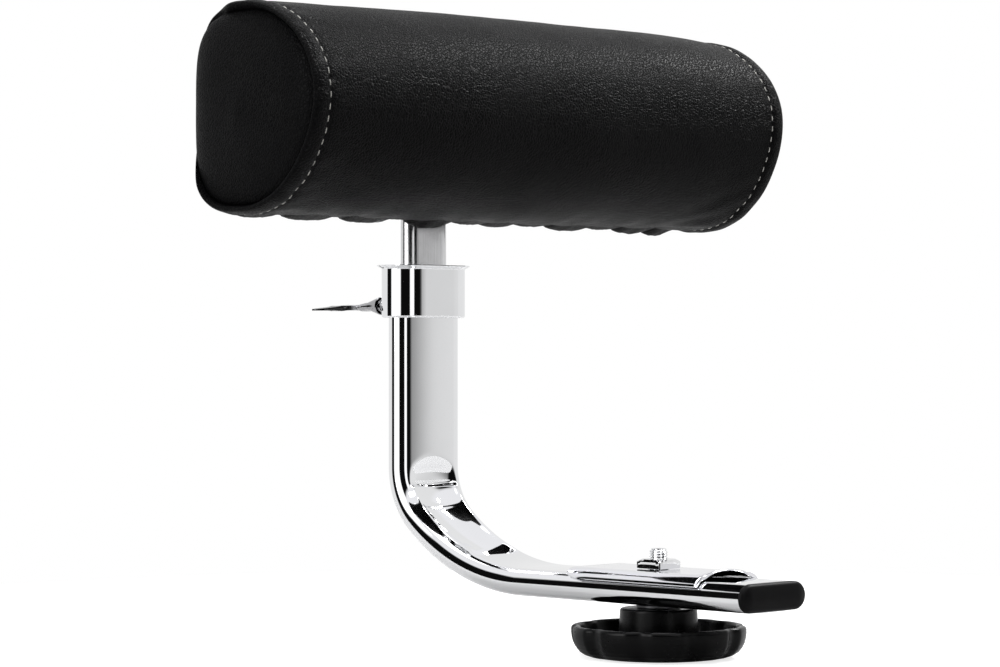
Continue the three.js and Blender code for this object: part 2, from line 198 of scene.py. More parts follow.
def felt(name="lining"):
    mat, tree, shader = material(name)
    at = coords(tree)
    weave = texture(tree, at, "Voronoi", in_Scale=900.0)
    fibre = texture(tree, at, "Noise", in_Scale=2400.0, in_Detail=4.0)
    paint(tree, shader, fibre.outputs["Fac"], [(0.3, (0.008, 0.008, 0.009)), (0.75, (0.035, 0.035, 0.037))])
    shader.inputs["Roughness"].default_value = 0.95
    under = bump(tree, shader, weave.outputs["Distance"], 0.5, 0.00025)
    bump(tree, shader, fibre.outputs["Fac"], 0.5, 0.0002, under)
    return mat


def foam_material(name="foam"):
    mat, tree, shader = material(name)
    at = coords(tree)
    pores = texture(tree, at, "Voronoi", in_Scale=700.0)
    paint(tree, shader, pores.outputs["Distance"], [(0.0, (0.45, 0.40, 0.27)), (0.6, (0.78, 0.72, 0.52))])
    shader.inputs["Roughness"].default_value = 0.95
    bump(tree, shader, pores.outputs["Distance"], 0.7, 0.0005)
    return mat


def wood_material(name="plywood"):
    mat, tree, shader = material(name)
    grain = texture(tree, coords(tree, (9, 900, 260)), "Noise", in_Scale=1.0, in_Detail=6.0)
    paint(tree, shader, grain.outputs["Fac"], [(0.3, (0.30, 0.18, 0.09)), (0.7, (0.60, 0.43, 0.25))])
    shader.inputs["Roughness"].default_value = 0.75
    bump(tree, shader, grain.outputs["Fac"], 0.3, 0.0003)
    return mat


CHROME = chrome()
PLATE_CHROME = chrome("chrome_plate", (0.84, 0.84, 0.87), 0.04, 0.09)
WING = chrome("chrome_wing", (0.40, 0.40, 0.41), 0.06, 0.13)


def paint_dark_blade_reflection(mat):
    """Painted reflection: the wing bolt's blades are darkened in the base colour to stand for the dark
    surroundings they mirror, and only its turned head is left bright.
    """
    tree = mat.node_tree
    shader = tree.nodes["Principled BSDF"]
    place = tree.nodes.new("ShaderNodeTexCoord")
    split = tree.nodes.new("ShaderNodeSeparateXYZ")
    wire(tree, place.outputs["Object"], split.inputs["Vector"])
    out = node(tree, "ShaderNodeMath", operation="ABSOLUTE")
    wire(tree, split.outputs["X"], out.inputs[0])
    bright = spread(tree, out.outputs[0], 1.0, 0.07, 0.0052, 0.0075)
    was = shader.inputs["Base Color"].links[0].from_socket
    scaled = node(tree, "ShaderNodeVectorMath", operation="SCALE")
    wire(tree, was, scaled.inputs[0])
    wire(tree, bright, scaled.inputs["Scale"])
    wire(tree, scaled.outputs["Vector"], shader.inputs["Base Color"])


paint_dark_blade_reflection(WING)
SATIN = satin()
KNOB = plastic("knob_black", (0.0012, 0.0012, 0.0013), 0.20, 0.32, shine=0.10)
MATTE = plastic("matte_black", (0.0024, 0.0024, 0.0026), 0.28, 0.40, 1700.0, 0.0001, 0.5, 0.05)
LEATHER = leather()
# Painted shade: the hem's leatherette is a darker copy of the pad's, standing in for the shadow under the pad
SHADED_HEM = leather("leatherette_hem_shaded", (0.0012, 0.0012, 0.0013), (0.003, 0.003, 0.0032), 0.03)
THREAD = thread()
LINING = felt()
FOAM = foam_material()
PLY = wood_material()
DARK_STEEL = chrome("dark_steel", (0.10, 0.10, 0.105), 0.25, 0.4)
BRASS = chrome("brass", (0.72, 0.52, 0.24), 0.2, 0.38)
ZINC = plastic("screw_black", (0.014, 0.014, 0.015), 0.30, 0.45)
ZINC.node_tree.nodes["Principled BSDF"].inputs["Metallic"].default_value = 0.6


# -------- mesh tools

def build(name, shape, body, mat, angle=38.0, stands_for=None, ride=True):
    """A new mesh piece from a shape in mm, which may stand for a CAD node."""
    mesh = bpy.data.meshes.new(name)
    mesh.from_pydata([(x * MM, y * MM, z * MM) for x, y, z in shape.verts], [], shape.faces)
    bm = bmesh.new()
    bm.from_mesh(mesh)
    bmesh.ops.recalc_face_normals(bm, faces=bm.faces)
    bm.to_mesh(mesh)
    bm.free()
    mesh.materials.append(mat)
    mesh.polygons.foreach_set("use_smooth", [True] * len(mesh.polygons))
    mesh.set_sharp_from_angle(angle=radians(angle))
    obj = bpy.data.objects.new(name, mesh)
    bpy.context.scene.collection.objects.link(obj)
    if ride:
        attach(obj, body)
    if stands_for:
        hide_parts(stands_for)
    return obj


def thicken(obj, by):
    """Gives cloth its thickness, in mm."""
    solid = obj.modifiers.new("Thick", "SOLIDIFY")
    solid.thickness = by * MM
    solid.offset = 0.0


class Shape:
    """Gathers points and faces in mm."""

    def __init__(self):
        self.verts = []
        self.faces = []

    def rings(self, rows, start=False, end=False, closed=False, capped=False):
        """Skins rows of equally many points. closed joins the last row to the first."""
        base = len(self.verts)
        count = len(rows[0])
        for row in rows:
            self.verts.extend(row)
        spans = len(rows) if closed else len(rows) - 1
        for s in range(spans):
            a = base + s * count
            b = base + ((s + 1) % len(rows)) * count
            for i in range(count):
                j = (i + 1) % count
                self.faces.append((a + i, a + j, b + j, b + i))
        if start or capped:
            self.faces.append(tuple(base + i for i in reversed(range(count))))
        if end or capped:
            last = base + (len(rows) - 1) * count
            self.faces.append(tuple(last + i for i in range(count)))

    def strip(self, rows):
        """Skins rows that are open strips of points."""
        base = len(self.verts)
        count = len(rows[0])
        for row in rows:
            self.verts.extend(row)
        for s in range(len(rows) - 1):
            for i in range(count - 1):
                a = base + s * count + i
                self.faces.append((a, a + 1, a + count + 1, a + count))


def oval(half, r, arc=20, flat=1):
    """A flat oval of straight half-length half and end radius r."""
    points = []
    for side in (1, -1):
        for i in range(arc + 1):
            a = pi * (i / arc - 0.5) + (0 if side > 0 else pi)
            points.append((side * half + r * cos(a), r * sin(a)))
        for i in range(1, flat):
            points.append((side * half * (1 - 2 * i / flat), side * r))
    return points


def crowned_oval(half, r, crown=0.36, arc=24, flat=34):
    """A flat oval whose two broad sides are very slightly crowned, as drawn tube is."""
    lean = atan(2 * crown / half)
    small = r - crown
    points = []
    for side in (1, -1):
        for i in range(arc + 1):
            a = (pi - 2 * lean) * (i / arc - 0.5) + (0 if side > 0 else pi)
            points.append((side * half + small * cos(a), small * sin(a)))
        edge = half + small * sin(lean)
        for i in range(1, flat):
            x = side * edge * (1 - 2 * i / flat)
            points.append((x, side * (r - crown * (x / edge) ** 2)))
    return points


def oval_rings(profile, half, y, arc=20, flat=1):
    """Rings round a vertical flat oval, one for each (offset, z) of the profile."""
    return [[(x, y + q, z) for x, q in oval(half, r, arc, flat)] for r, z in profile]


def turns(n):
    """n angles evenly round a circle."""
    return [2 * pi * i / n for i in range(n)]


def circle_rings(profile, n=48, axis="z", at=(0, 0)):
    """Rings round an axis, one for each (radius, height) of the profile."""
    rows = []
    for r, h in profile:
        row = []
        for a in turns(n):
            if axis == "z":
                row.append((at[0] + r * cos(a), at[1] + r * sin(a), h))
            else:
                row.append((at[0] + r * cos(a), h, at[1] + r * sin(a)))
        rows.append(row)
    return rows


def fillet(cx, cy, r, a0, a1, n=6):
    """Points of an arc, in degrees."""
    out = []
    for i in range(n + 1):
        a = radians(a0 + (a1 - a0) * i / n)
        out.append((cx + r * cos(a), cy + r * sin(a)))
    return out


def hold(profile, near=0.35):
    """Adds a point just inside both ends of every long step, so smooth shading keeps flats flat."""
    out = [profile[0]]
    for a, b in zip(profile, profile[1:]):
        length = hypot(b[0] - a[0], b[1] - a[1])
        if length > 4 * near:
            for t in (near / length, 1 - near / length):
                out.append(tuple(p + (q - p) * t for p, q in zip(a, b)))
        out.append(b)
    return out


def ease(t):
    t = min(1.0, max(0.0, t))
    return t * t * (3 - 2 * t)


def thread_rings(r, depth, pitch, low, high, axis, at, n=40, per=9):
    """A screw thread as rings whose radius follows the helix, tapering at both ends."""
    rows = []
    steps = int((high - low) / pitch * per)
    for k in range(steps + 1):
        h = low + (high - low) * k / steps
        fade = min(1.0, h - low, high - h)
        row = []
        for i in range(n):
            a = 2 * pi * i / n
            phase = (h / pitch - i / n) % 1.0
            tooth = abs(2 * phase - 1)
            rr = r - depth * (1 - min(1.0, tooth * 1.25)) - (1 - fade) * depth * 0.9
            if axis == "z":
                row.append((at[0] + rr * cos(a), at[1] + rr * sin(a), h))
            else:
                row.append((at[0] + rr * sin(a), h, at[1] + rr * cos(a)))
        rows.append(row)
    return rows


# -------- main tube

def bend_stations():
    """y, z, turn and arc position of the tube's centre, from the post's top to the bar's end."""
    drop = BEND_TIGHT * sin(BEND_SPLIT) + BEND_OPEN * (1 - sin(BEND_SPLIT))
    top = BAR_Z + drop
    rows = []
    for z in (POST_TOP, POST_TOP - 0.6, 120, 96, 80, 72, 66, 63, 61, 60, 59, 58, 57, 56, 55, 54, 53, 52, 51):
        rows.append((POST_Y, z, 0.0))
    steps = 180
    for i in range(steps + 1):
        turn = pi / 2 * i / steps
        first = min(turn, BEND_SPLIT)
        y = POST_Y - BEND_TIGHT * (1 - cos(first))
        z = top - BEND_TIGHT * sin(first)
        if turn > BEND_SPLIT:
            y -= BEND_OPEN * (cos(BEND_SPLIT) - cos(turn))
            z -= BEND_OPEN * (sin(turn) - sin(BEND_SPLIT))
        rows.append((y, z, turn))
    y = rows[-1][0]
    for k in range(1, 9):
        rows.append((y + (BAR_END - y) * k / 8, BAR_Z, pi / 2))
    path = []
    s = 0.0
    for k, row in enumerate(rows):
        if k:
            s += hypot(row[0] - rows[k - 1][0], row[1] - rows[k - 1][1])
        path.append((*row, s))
    bend_from = POST_TOP - top
    return [(y, z, turn, s - bend_from) for y, z, turn, s in path]


def dent(x, s):
    """How far the press has pushed the bend's inner face in, at x across and s along from its start."""
    channel_on = ease((s - 9.0) / 7.0) * (1 - ease((s - 79.0) / 9.0))
    u = min(1.0, abs(x) / 17.5)
    channel = 2.5 * channel_on * (cos(pi / 2 * u) ** 1.5)
    inside = max(0.0, 1 - (x / 19.5) ** 2)
    scoop_on = ease((s + 8.5 - 9.0 * (x / 19.5) ** 2) / 19.0) * (1 - ease((s - 10.5) / 4.5))
    scoop = 2.0 * scoop_on * ease(1.8 * inside)
    crease = 0.45 * exp(-((s - 12.2) / 1.8) ** 2) * ease(1.5 * inside)
    second = 0.5 * exp(-((s - 29) / 2.0) ** 2) * max(0.0, 1 - (x / 15.0) ** 2)
    pocket_on = ease((s - 71.0 - 3.0 * (1 - (x / 17.0) ** 2)) / 10.0) * (1 - ease((s - 81.5) / 7.0))
    pocket = 2.6 * pocket_on * ease(1.7 * max(0.0, 1 - (x / 18.0) ** 2))
    ridge = 0.5 * channel_on * exp(-((abs(x) - 17.0) / 2.2) ** 2)
    return channel + scoop + crease + second + pocket - ridge


def tube_rows(shrink):
    half = (TUBE_W - TUBE_T) / 2
    outline = crowned_oval(half, TUBE_T / 2 - shrink, arc=34, flat=48)
    rows = []
    for y, z, turn, s in bend_stations():
        ny, nz = -cos(turn), sin(turn)
        row = []
        for x, q in outline:
            if q > 0:
                q -= dent(x, s) * min(1.0, q / 4.0)
            row.append((x, y + ny * q, z + nz * q))
        rows.append(row)
    return rows


tube = Shape()
outer_rows = tube_rows(0.0)
inner_rows = tube_rows(TUBE_WALL)
tube.rings(outer_rows + inner_rows[::-1], closed=True)
build("main_tube_skin", tube, "post_frame", CHROME, 50, stands_for="main_tube")

# -------- end plug

plug = Shape()
half = (TUBE_W - TUBE_T) / 2
profile = [(5.9, -66.5), (6.2, -68.0), (6.2, -78.2), (7.8, -78.2), (8.0, -78.6), (8.0, -79.0)]
for i in range(1, 8):
    t = pi / 2 * i / 8
    profile.append((8.0 - 3.2 * (1 - cos(t)), -79.0 - 2.5 * sin(t)))
profile += [(4.2, -81.75), (3.0, -82.0), (1.6, -82.2), (0.5, -82.25)]
rows = []
for r, h in profile:
    flange = h < -78.1
    squash, longer = (0.94, 1.1) if flange else (1.0, 0.0)
    rows.append([(x, h, BAR_Z + q * squash) for x, q in oval(half + longer, r, 20, 6)])
plug.rings(rows, capped=True)
build("bar_end_cap", plug, "post_frame", MATTE, 40, stands_for="bar_end_plug")

# -------- collar and bush

collar = Shape()
half = (56 - 27.6) / 2
profile = []
profile += fillet(12.6, 137.0, 1.2, -90, 0, 5)                 # rounded lower edge, out to the wall
profile += [(13.8, 150.0), (13.8, 163.8)]
profile += [(13.8 + 2.2 * ease(i / 6), 163.8 + 1.5 * (i / 6)) for i in range(1, 7)]
profile += [(16.5, 165.4), (16.7, 165.7), (16.5, 166.0), (15.9, 166.1), (14.6, 165.9), (13.2, 165.0),
            (12.4, 163.6)]
profile += [(12.3, 140.0), (11.6, 138.2), (8.4, 137.1), (8.4, 135.8)]
profile = hold(profile)
ring_rows = []
for r, z in profile:
    # the floor closes in on the tube's own flat oval
    t = ease((r - 8.4) / 4.4)
    h = 17.0 + (half - 17.0) * t
    ring_rows.append([(x, POST_Y + q, z) for x, q in oval(h, r, 28, 8)])
collar.rings(ring_rows, closed=True)
collar_obj = build("collar_shell", collar, "post_frame", CHROME, 50, stands_for="collar")

bush = Shape()
outer, inner = (53 - 24.6) / 2, (32 - 11.4) / 2
profile = hold([(11.9, 137.5), (12.0, 138.0), (12.0, 163.4), (11.6, 164.3), (11.0, 164.7)])
rows = oval_rings(profile, outer, POST_Y, 20, 6)
profile = hold([(7.0, 164.7), (6.4, 164.4), (6.0, 163.7), (6.0, 152.4)])
rows += oval_rings(profile, inner, POST_Y, 20, 6)
rows += oval_rings([(8.3, 152.3), (8.3, 137.5)], 17.0, POST_Y, 20, 6)
bush.rings(rows, closed=True)
bush_obj = build("guide_bush_liner", bush, "post_frame", MATTE, 40, stands_for="guide_bush")


def bore(objects, rings, angle):
    """Cuts the space inside the rings out of every object."""
    tool = Shape()
    tool.rings(rings, capped=True)
    cutter = build("bore_tool", tool, "post_frame", CHROME, ride=False)
    for obj in objects:
        cut = obj.modifiers.new("Bore", "BOOLEAN")
        cut.operation = "DIFFERENCE"
        cut.solver = "EXACT"
        cut.object = cutter
        bpy.context.view_layer.update()
        made = bpy.data.meshes.new_from_object(obj.evaluated_get(bpy.context.evaluated_depsgraph_get()))
        obj.modifiers.remove(cut)
        obj.data = made
        made.set_sharp_from_angle(angle=radians(angle))
    bpy.data.objects.remove(cutter)


bore((collar_obj, bush_obj), circle_rings([(4.3, 186.0), (4.3, 200.0)], 48, "y", (0, SCREW_Z)), 45)

# -------- weld nut, pressure pad, wing bolt

nut = Shape()
rows = []
for r, y, round_to in ((6.6, 197.1, 1), (7.45, 197.6, 0.25), (7.5, 198.2, 0), (7.5, 202.6, 0),
                       (7.35, 203.1, 0.35), (6.4, 203.6, 1), (4.9, 203.6, 1), (4.3, 203.0, 1),
                       (4.3, 197.1, 1)):
    row = []
    for a in turns(72):
        flat = 6.5 / cos((a + pi / 6) % (pi / 3) - pi / 6)
        rr = min(flat, r) * (1 - round_to) + r * round_to
        rr = min(rr, flat)
        row.append((rr * cos(a), y, SCREW_Z + rr * sin(a)))
    rows.append(row)
nut.rings(rows, closed=True)
build("weld_nut_body", nut, "post_frame", CHROME, 30, stands_for="weld_nut")

bead = Shape()
rows = []
for a in turns(96):
    lump = 0.25 * sin(a * 17) + 0.15 * sin(a * 29 + 1)
    cx, cz = 7.1 * cos(a), 7.1 * sin(a)
    row = []
    for b in turns(10):
        rr = 1.1 + lump * 0.6
        row.append((cx + rr * cos(b) * cos(a), 197.3 + rr * 0.9 * sin(b),
                    SCREW_Z + cz + rr * cos(b) * sin(a)))
    rows.append(row)
bead.rings(rows, closed=True)
build("weld_bead_nut", bead, "post_frame", CHROME, 60)

disc = Shape()
disc.rings(circle_rings([(2.9, 189.0), (3.4, 189.2), (3.5, 189.6), (3.5, 191.8), (3.2, 192.2)], 32, "y",
                      (0, SCREW_Z)), capped=True)
build("pressure_pad_disc", disc, "bolt_carriage", BRASS, 30, stands_for="pressure_pad")

bolt = Shape()
bolt.rings(thread_rings(3.98, 0.62, 1.25, 192.5, 216.5, "y", (0, SCREW_Z)), start=True)


# the head: a hollow skirt that narrows to a flattened, ringed neck
head = [(3.9, 3.9, 216.5), (4.1, 4.1, 221.5), (4.3, 4.3, 219.6), (5.0, 5.0, 218.6), (5.3, 5.3, 218.9),
        (5.2, 5.0, 220.2), (5.1, 4.3, 222.4), (5.1, 3.4, 225.0), (5.2, 2.6, 227.6), (5.2, 2.1, 229.4),
        (5.5, 2.5, 230.3), (5.5, 2.5, 231.0), (5.2, 1.9, 231.9), (5.4, 2.3, 232.8), (5.4, 2.3, 233.5),
        (5.1, 1.7, 234.6), (4.9, 1.6, 240.0), (4.4, 1.5, 246.0), (3.4, 1.4, 249.0), (1.6, 0.9, 250.6)]
rows = []
for wx, wz, y in head:
    middle = SCREW_Z - 0.9 * ease((y - 224) / 12)
    rows.append([(wx * cos(t), y, middle + wz * sin(t)) for t in turns(48)])
bolt.rings(rows, end=True)


def wing_rows(side):
    """One wing: a stamped blade that leaves the head and sweeps out and back, thinner at its tip."""
    rows = []
    for k in range(17):
        t = k / 16
        x = 2.0 + 23.6 * t
        mid = 240.5 + 10.0 * t ** 1.15
        width = 11.0 * (1 - 0.40 * ease(t)) * (1 - max(0.0, (t - 0.84) / 0.16) ** 2.2 * 0.78)
        thick = 3.1 - 2.2 * t ** 1.4 + 0.8 * exp(-((t - 0.42) / 0.07) ** 2)
        rise = -0.7 - 1.5 * t
        row = []
        for a in turns(20):
            c, s = cos(a), sin(a)
            rim = 1 + 0.35 * ease((abs(c) - 0.6) / 0.3)
            row.append((side * x, mid + width * 0.5 * abs(c) ** 0.5 * (1 if c > 0 else -1),
                        SCREW_Z + rise + thick * 0.5 * abs(s) ** 0.45 * (1 if s > 0 else -1) * rim))
        rows.append(row)
    return rows


for side in (1, -1):
    bolt.rings(wing_rows(side), capped=True)
build("wing_bolt_body", bolt, "wing", WING, 45, stands_for="wing_bolt")

# -------- sliding bar, glide and cap

bar = Shape()
half = (32 - 11.4) / 2
profile = [(5.4, 90.0), (5.7, 90.4), (5.7, 120), (5.7, 180), (5.7, 240), (5.7, 277.6), (5.4, 278.0),
           (4.5, 278.0), (4.2, 277.6), (4.2, 90.4), (4.5, 90.0)]
bar.rings(oval_rings(profile, half, POST_Y, 22, 12), closed=True)
build("sliding_bar", bar, "pad_carrier", SATIN, 35, stands_for="inner_tube")

cap = Shape()
profile = [(3.6, 270.0), (3.9, 270.6), (3.9, 278.3), (5.6, 278.3), (5.7, 278.6), (5.7, 279.6)]
profile += [(5.7 - 1.7 * (1 - cos(t)), 279.6 + 1.7 * sin(t)) for t in
            [pi / 2 * i / 6 for i in range(1, 7)]]
profile += [(2.0, 281.3)]
cap.rings(oval_rings(profile, half, POST_Y, 20, 6), capped=True)
build("sliding_bar_cap", cap, "pad_carrier", MATTE, 40, stands_for="inner_tube_cap")

glide = Shape()
profile = [(5.4, 81.7), (6.2, 82.5), (6.2, 88.9), (5.7, 89.7), (4.0, 89.7)]
rows = oval_rings(profile, 17.0, POST_Y, 20, 6)
rows += oval_rings([(3.9, 89.7), (3.9, 97.4), (3.5, 98.0)], half, POST_Y, 20, 6)
glide.rings(rows, capped=True)
build("sliding_bar_glide", glide, "pad_carrier", MATTE, 40, stands_for="inner_tube_glide")

# -------- pad bracket

bracket = Shape()
plate_y0, plate_y1 = 169.6, 172.6


def slab(shape, x0, x1, y0, y1, z0, z1, r, e=0.5, n=6):
    """A plate in the X-Z plane with corner radius r and small edge roundings."""
    def outline(inset):
        pts = []
        for cx, cz, a0 in ((x1 - r, z1 - r, 0), (x0 + r, z1 - r, 90),
                           (x0 + r, z0 + r, 180), (x1 - r, z0 + r, 270)):
            for i in range(n + 1):
                a = radians(a0 + 90 * i / n)
                pts.append((cx + (r - inset) * cos(a), cz + (r - inset) * sin(a)))
        return pts
    rows = []
    for inset, y in ((e, y0), (0.0, y0 + e), (0.0, y1 - e), (e, y1)):
        rows.append([(x, y, z) for x, z in outline(inset)])
    shape.rings(rows, capped=True)


slab(bracket, -45, 45, plate_y0, plate_y1, 215, 275, 7)
for side in (1, -1):
    rows = []
    for z, inset in ((215.0, 0.5), (215.5, 0.0), (274.5, 0.0), (275.0, 0.5)):
        x0, x1 = 16.3, 19.3
        pts = [(x0 + inset, 171.0), (x1 - inset, 171.0), (x1 - inset, 187.6 - inset),
               (x1 - inset - 0.6, 188.5 - inset), (x0 + inset + 0.6, 188.5 - inset),
               (x0 + inset, 187.6 - inset)]
        rows.append([(side * x, y, z) for x, y in pts])
    bracket.rings(rows, capped=True)
    rows = []
    for z in (215.2, 274.8):
        pts = [(19.3 + 3.0 * (1 - cos(a)), 172.6 + 3.0 * (1 - sin(a))) for a in
               [pi / 2 * i / 6 for i in range(7)]]
        rows.append([(side * x, y, z) for x, y in pts + [(19.0, 172.3)]])
    bracket.rings(rows, capped=True)
build("pad_bracket_body", bracket, "pad_carrier", SATIN, 35, stands_for="pad_bracket")

beads = Shape()
for side in (1, -1):
    for z0, z1 in ((219, 237), (253, 271)):
        rows = []
        steps = 54
        for k in range(steps + 1):
            z = z0 + (z1 - z0) * k / steps
            end = min(1.0, k / 5, (steps - k) / 5)
            lump = 1 + 0.18 * sin(k * 1.45) + 0.08 * sin(k * 0.6)
            rr = 1.35 * lump * (0.25 + 0.75 * end)
            rows.append([(side * (16.2 + rr * cos(b)), 187.9 + rr * 0.75 * sin(b), z) for b in
                         turns(10)])
        beads.rings(rows, capped=True)
build("bracket_weld_beads", beads, "pad_carrier", SATIN, 60)

# -------- screws and tee nuts

number = 0
for sx in (-34, 34):
    for sz in (228, 262):
        number += 1
        head = Shape()
        profile = [(2.2, 156.8), (3.0, 158.0), (3.0, 172.7), (5.7, 172.9), (6.0, 173.3), (6.0, 174.2),
                   (5.7, 175.2), (5.0, 175.9), (4.0, 176.25), (3.4, 176.3)]
        head.rings(circle_rings(profile, 40, "y", (sx, sz)), start=True)
        # a cross recess: the top's inner rings dip inside the cross
        rows = []
        for r in (3.4, 3.0, 2.4, 1.8, 1.2, 0.7, 0.2):
            row = []
            for a in turns(40):
                arm = min(abs(r * sin(a)), abs(r * cos(a)))
                deep = 1.7 * ease((0.75 - arm) / 0.25) * ease((3.2 - r) / 0.5)
                row.append((sx + r * cos(a), 176.3 - deep, sz + r * sin(a)))
            rows.append(row)
        head.rings(rows, end=True)
        build(f"pan_screw_{number}", head, "pad_carrier", ZINC, 35,
              stands_for=f"bracket_screw_{number}")

# -------- saddle plate

saddle = Shape()
half = (TUBE_W - TUBE_T) / 2
PLATE_FRONT, PLATE_REAR = -49.0, 46.0


def saddle_height(x, y):
    """The plate's top over its flat middle: flat, with a pressed arch that opens at the front end."""
    t = ease((-38.0 - y) / 9.5)
    return 2.3 * t * max(0.0, 1 - (x / 16.8) ** 2)


def saddle_point(u, y, depth):
    """A point at arc position u across the plate, depth below its outer face."""
    outer = TUBE_T / 2 + 0.3 + 2.5
    r = outer - depth
    flat = half
    reach = radians(60) * outer
    if abs(u) <= flat:
        return (u, y, BAR_Z + r + saddle_height(u, y))
    side = 1 if u > 0 else -1
    a = (abs(u) - flat) / reach * radians(60)
    return (side * (flat + r * sin(a)), y, BAR_Z + r * cos(a))


reach = radians(60) * (TUBE_T / 2 + 2.8)
full = half + reach
ys = [PLATE_FRONT, PLATE_FRONT + 0.35, PLATE_FRONT + 0.9] + [PLATE_FRONT + 1.6 + i * 1.3 for i in range(13)]
ys += [-30 + i * 6.0 for i in range(12)] + [PLATE_REAR - 1.5, PLATE_REAR - 0.6, PLATE_REAR]
ys = sorted(y for y in set(ys) if y <= PLATE_REAR)
columns = 56
top_rows, low_rows = [], []
for y in ys:
    back = max(0.0, y - (PLATE_REAR - 7))
    wide = full - 6.0 * (1 - sqrt(max(0.0, 1 - (back / 7) ** 2))) if back > 0 else full
    soft = 0.45 if y in (ys[0], ys[-1]) else 0.12 if y in (ys[1], ys[-2]) else 0.0
    top, low = [], []
    for i in range(columns + 1):
        u = -wide + 2 * wide * i / columns
        rim = 0.45 if i in (0, columns) else 0.0
        d = max(soft, rim)
        top.append(saddle_point(u, y, d))
        low.append(saddle_point(u, y, 2.5 - 1.4 * ease((-38.0 - y) / 9.5) * max(0.0, 1 - (u / 18) ** 4) - d))
    top_rows.append(top)
    low_rows.append(low)
rows = [top + low[::-1] for top, low in zip(top_rows, low_rows)]
saddle.rings(rows, capped=True)
build("saddle_plate_body", saddle, "post_frame", PLATE_CHROME, 50, stands_for="saddle_plate")

# -------- stud, nut, washer

stud = Shape()
rows = thread_rings(4.98, 0.72, 1.5, -18.0, 10.4, "z", (0, 0), 44, 9)
rows += circle_rings([(4.1, 10.7), (3.6, 11.0), (1.5, 11.0)], 44)
rows = circle_rings([(4.2, -43.5), (4.2, -18.2)], 44) + rows
stud.rings(rows, capped=True)
build("clamp_stud_body", stud, "knob", CHROME, 40, stands_for="clamp_stud")

square = Shape()
rows = []
for z, r_max in ((0.3, 11.4), (0.55, 11.75), (3.9, 11.75), (4.6, 10.6), (5.3, 9.0)):
    row = []
    for i in range(96):
        a = 2 * pi * (i + 0.5) / 96
        flat = 8.5 / max(abs(cos(a)), abs(sin(a)))
        rr = min(flat - (0.12 if z == 0.3 else 0.0), r_max)
        row.append((rr * cos(a), rr * sin(a), z))
    rows.append(row)
for r, z in ((6.1, 5.3), (5.2, 4.5), (5.2, 0.9), (5.7, 0.3)):
    rows.append([(r * cos(2 * pi * (i + 0.5) / 96), r * sin(2 * pi * (i + 0.5) / 96), z)
                 for i in range(96)])
square.rings(rows, closed=True)
build("square_nut_body", square, "nut", CHROME, 28, stands_for="square_nut")

washer = Shape()
profile = [(12.0, -20.3), (12.0, -19.4), (11.7, -19.1), (5.6, -19.1), (5.3, -19.4), (5.3, -20.3),
           (5.6, -20.6), (11.7, -20.6)]
washer.rings(circle_rings(profile, 64), closed=True)
build("knob_washer_ring", washer, "post_frame", DARK_STEEL, 35, stands_for="knob_washer")

# -------- hand knob

LOBES = 10
knob = Shape()
outline = []        # radius, height, how deep the flutes are
outline += [(0.6, -46.6, 0), (14.0, -46.6, 0), (17.0, -46.6, 0), (18.5, -47.3, 0), (20.5, -48.0, 0),
            (29.0, -48.0, 0)]
outline += [(34.0, -47.9, 0.1), (37.5, -47.4, 0.25), (40.6, -46.3, 0.5), (43.2, -44.6, 0.8),
            (45.0, -42.4, 1.0), (46.2, -39.8, 1.0), (46.9, -37.0, 1.0), (47.2, -34.4, 1.0),
            (47.2, -32.4, 1.0), (46.8, -31.2, 0.95), (46.0, -30.6, 0.85), (45.0, -30.4, 0.75),
            (44.0, -30.5, 0.65), (43.3, -30.9, 0.55), (43.0, -31.7, 0.5)]
outline += [(42.6, -34.5, 0.4), (42.0, -38.0, 0.3), (41.2, -41.0, 0.15), (40.2, -42.4, 0), (38.6, -43.0, 0),
            (30.0, -43.0, 0)]
outline += [(25.0, -43.0, 0), (23.2, -42.5, 0), (22.0, -41.2, 0), (21.6, -38.0, 0), (20.9, -24.0, 0),
            (20.8, -22.2, 0), (20.4, -21.4, 0), (19.7, -21.0, 0), (18.5, -20.9, 0), (12.0, -20.9, 0),
            (5.8, -20.9, 0), (5.3, -21.3, 0), (5.3, -43.4, 0), (0.6, -43.6, 0)]
outline = hold(outline)
rows = []
around = 280
for r, h, flute in outline:
    row = []
    for a in turns(around):
        wave = max(0.0, cos(LOBES * a + 1.15))
        rr = r - 2.4 * flute * wave ** 1.5
        row.append((rr * cos(a), rr * sin(a), -20.9 + (h + 20.9) * 0.97))
    rows.append(row)
knob.rings(rows, capped=True)
for k in range(5):          # ribs that tie the rim to the hub under the recess
    a = 2 * pi * (k + 0.3) / 5
    c, s = cos(a), sin(a)
    section = []
    for r, top in ((21.2, -36.0), (28.0, -38.4), (36.0, -39.6), (41.4, -39.8)):
        pts = [(-1.5, -43.2), (1.5, -43.2), (1.2, top + 0.4), (0.6, top), (-0.6, top), (-1.2, top + 0.4)]
        section.append([(r * c - w * s, r * s + w * c, z) for w, z in pts])
    knob.rings(section, capped=True)
build("hand_knob_body", knob, "knob", KNOB, 40, stands_for="hand_knob")


# -------- pad

AROUND = 96
STITCH_X = 175.3


def pad_outline(inset, rear_extra=0.0):
    """The pad's D section, from the rear middle round by the top; inset moves it in."""
    points = []
    for a in turns(AROUND):
        c, s = cos(a), sin(a)
        rear = c > 0
        n = 3.5 if rear else 1.9
        reach = (45.0 if rear else 59.0) - inset - (rear_extra if rear else 0.0)
        rise = (52.0 if s > 0 else 61.0) - inset
        scale = (abs(c) ** n + abs(s) ** n) ** (-1 / n)
        y = min(PAD_Y + reach * c * scale, PAD_BACK - inset * 0.22 - rear_extra)
        points.append((y, PAD_Z + rise * s * scale))
    return points


